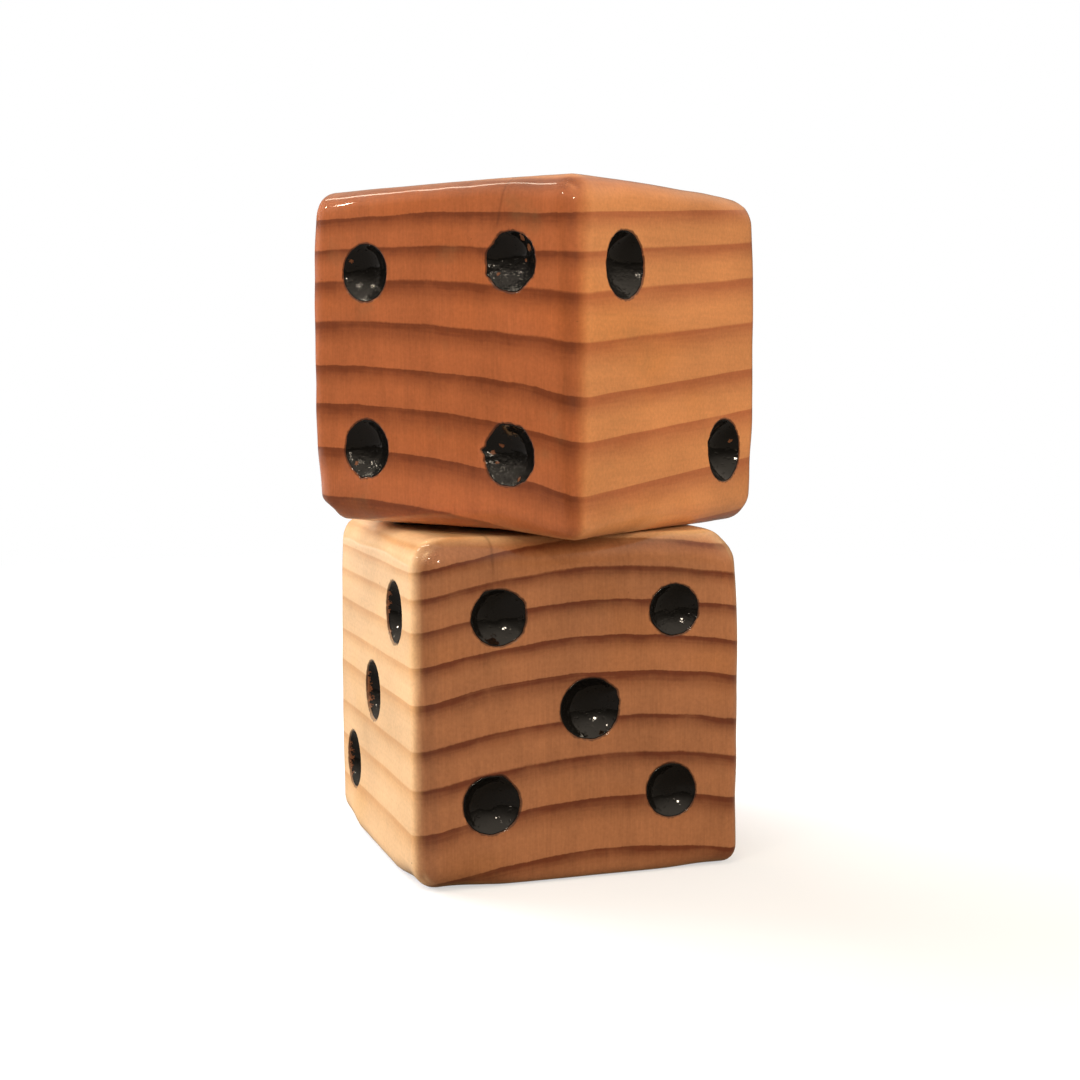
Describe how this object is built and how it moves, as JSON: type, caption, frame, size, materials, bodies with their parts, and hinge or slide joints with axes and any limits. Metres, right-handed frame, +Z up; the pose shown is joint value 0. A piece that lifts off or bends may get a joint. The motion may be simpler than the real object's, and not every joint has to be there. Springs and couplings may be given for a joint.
{
  "type": "giant yard dice",
  "caption": "Large varnished softwood cube dice with sanded edges and bowl-shaped pips painted gloss black, one stacked askew on the other.",
  "frame": {"origin": "centre of the flat face that the lower die rests on", "axes": "+Z up, through both dice; -Y is the lower die's five face and -X its three face, both square to the row axes"},
  "size_m": [0.1196, 0.1187, 0.1778],
  "materials": {
    "lower_wood": "gloss varnish over flat-sawn softwood with wide growth rings",
    "upper_wood": "gloss varnish over flat-sawn softwood, redder than the lower die",
    "black_enamel": "thick brushed gloss enamel pooled in each pip"
  },
  "bodies": {
    "lower_die": {"lower_die_block": "lower_wood", "lower_pip_one_1": "black_enamel", "lower_pip_two_1": "black_enamel", "lower_pip_two_2": "black_enamel", "lower_pip_three_1": "black_enamel", "lower_pip_three_2": "black_enamel", "lower_pip_three_3": "black_enamel", "lower_pip_four_1": "black_enamel", "lower_pip_four_2": "black_enamel", "lower_pip_four_3": "black_enamel", "lower_pip_four_4": "black_enamel", "lower_pip_five_1": "black_enamel", "lower_pip_five_2": "black_enamel", "lower_pip_five_3": "black_enamel", "lower_pip_five_4": "black_enamel", "lower_pip_five_5": "black_enamel", "lower_pip_six_1": "black_enamel", "lower_pip_six_2": "black_enamel", "lower_pip_six_3": "black_enamel", "lower_pip_six_4": "black_enamel", "lower_pip_six_5": "black_enamel", "lower_pip_six_6": "black_enamel"},
    "upper_die": {"upper_die_block": "upper_wood", "upper_pip_one_1": "black_enamel", "upper_pip_two_1": "black_enamel", "upper_pip_two_2": "black_enamel", "upper_pip_three_1": "black_enamel", "upper_pip_three_2": "black_enamel", "upper_pip_three_3": "black_enamel", "upper_pip_four_1": "black_enamel", "upper_pip_four_2": "black_enamel", "upper_pip_four_3": "black_enamel", "upper_pip_four_4": "black_enamel", "upper_pip_five_1": "black_enamel", "upper_pip_five_2": "black_enamel", "upper_pip_five_3": "black_enamel", "upper_pip_five_4": "black_enamel", "upper_pip_five_5": "black_enamel", "upper_pip_six_1": "black_enamel", "upper_pip_six_2": "black_enamel", "upper_pip_six_3": "black_enamel", "upper_pip_six_4": "black_enamel", "upper_pip_six_5": "black_enamel", "upper_pip_six_6": "black_enamel"}
  },
  "joints": [
    {"name": "upper_die_lift", "type": "slide", "parent": "lower_die", "child": "upper_die", "axis": [0, 0, 1], "range_m": [0, 0.12]}
  ]
}
